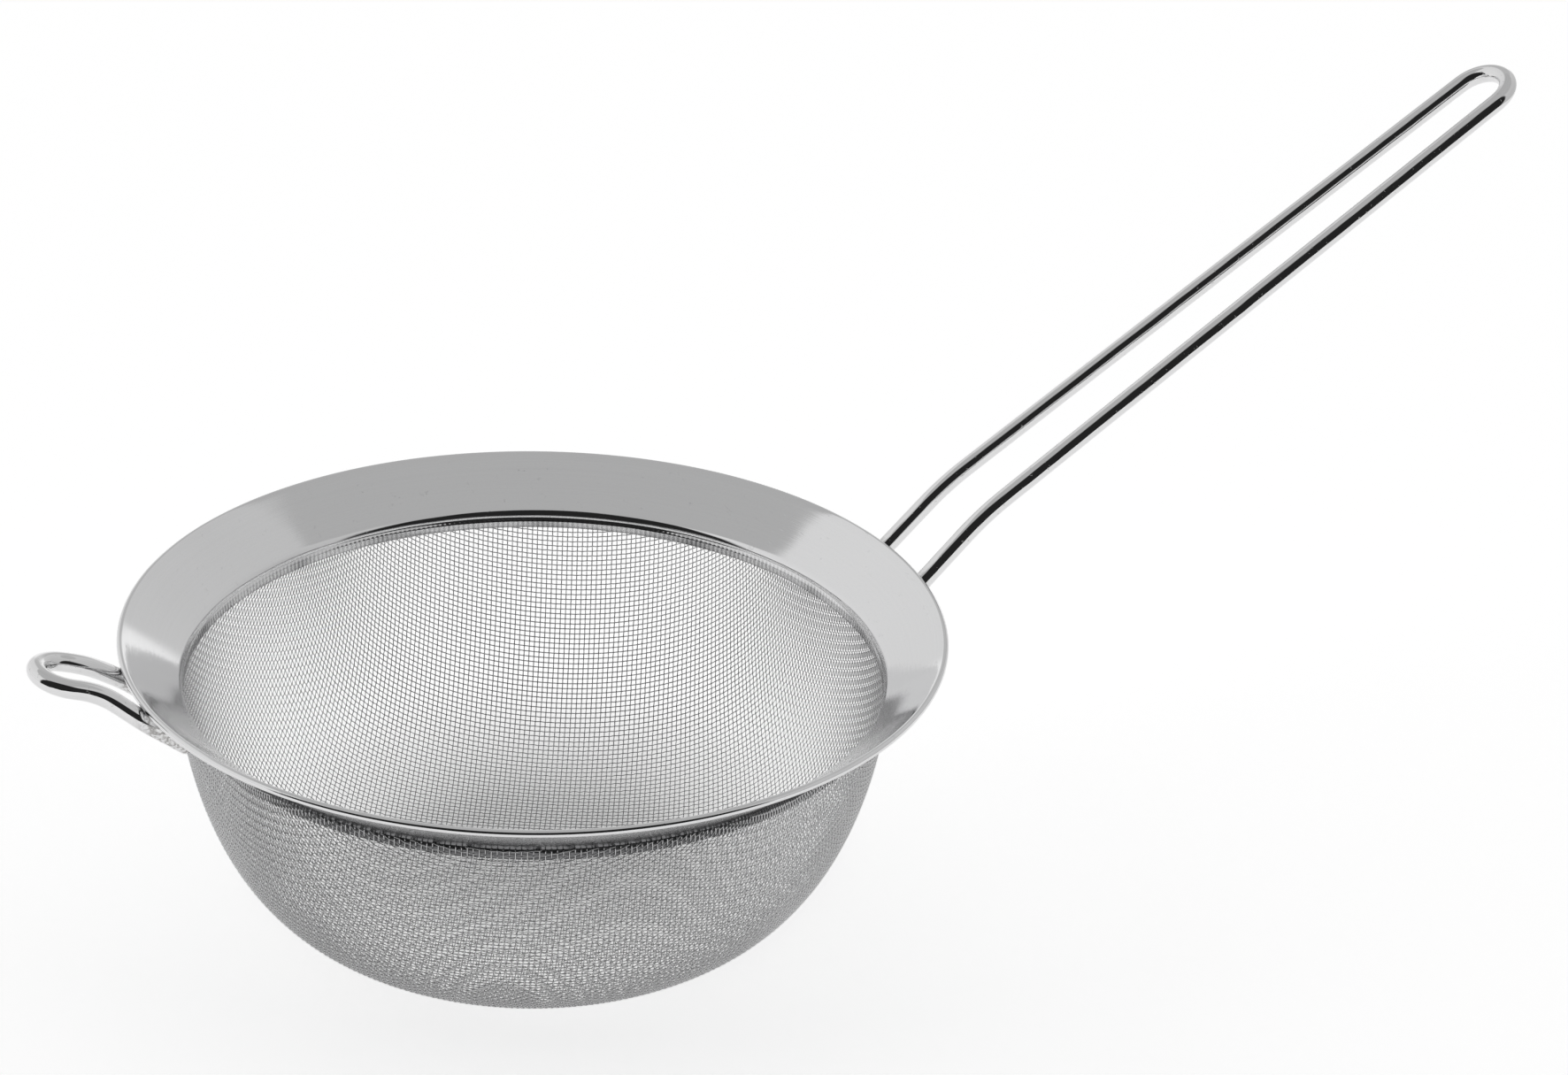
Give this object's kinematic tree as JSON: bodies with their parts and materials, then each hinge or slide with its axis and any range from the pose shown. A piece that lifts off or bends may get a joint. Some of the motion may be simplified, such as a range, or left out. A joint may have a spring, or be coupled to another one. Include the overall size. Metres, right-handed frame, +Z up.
{
  "type": "tea strainer",
  "caption": "Tea strainer with a wide flared steel rim, a deep woven wire bowl, a hairpin wire handle and a small wire rest loop.",
  "frame": {"origin": "centre of the rim, on its axis, in the plane of the rolled edge's centre line", "axes": "+Z up along the rim's axis, +X from the axis towards the handle"},
  "size_m": [0.198, 0.1, 0.0947],
  "materials": {
    "polished_steel": "polished stainless sheet",
    "wire_cloth": "fine woven stainless wire",
    "drawn_wire": "bright drawn stainless wire",
    "weld_metal": "resistance-welded steel"
  },
  "bodies": {
    "root": {"rim_flange": "polished_steel", "mesh_bowl": "wire_cloth", "handle_wire": "drawn_wire", "handle_welds": "weld_metal", "rest_loop": "drawn_wire", "loop_welds": "weld_metal"}
  },
  "joints": []
}
